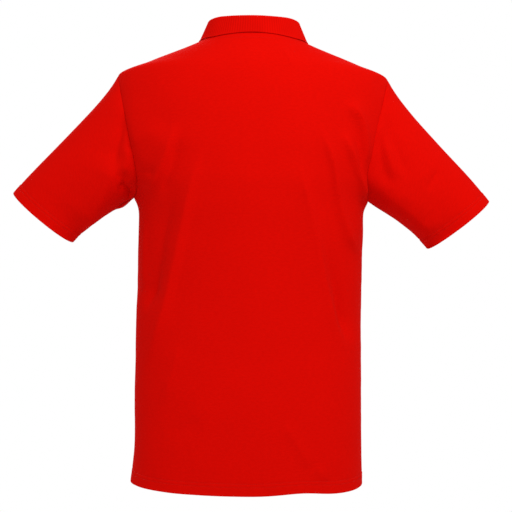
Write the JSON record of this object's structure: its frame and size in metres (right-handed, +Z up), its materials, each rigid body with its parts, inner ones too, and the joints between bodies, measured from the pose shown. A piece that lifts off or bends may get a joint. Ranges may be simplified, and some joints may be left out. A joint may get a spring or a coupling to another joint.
{
  "type": "polo shirt",
  "caption": "Plain red short-sleeved polo shirt, filled out as worn with no wearer, with a folded rib collar, a buttoned placket and set-in sleeves.",
  "frame": {"origin": "middle of the neck opening, level with the tops of the shoulder seams, where the wearer's neck passes through", "axes": "+Z up to the collar, -Y out of the front, +X along the wearer's left shoulder"},
  "size_m": [0.7718, 0.257, 0.75],
  "materials": {
    "knit": "matte cotton knit",
    "rib": "matte flat-knit rib",
    "button": "polished"
  },
  "bodies": {
    "root": {"back": "knit", "front": "knit", "sleeve_left": "knit", "sleeve_right": "knit", "placket_top": "knit", "placket_under": "knit", "collar": "rib", "button_1": "button", "button_2": "button", "button_3": "button"}
  },
  "joints": []
}
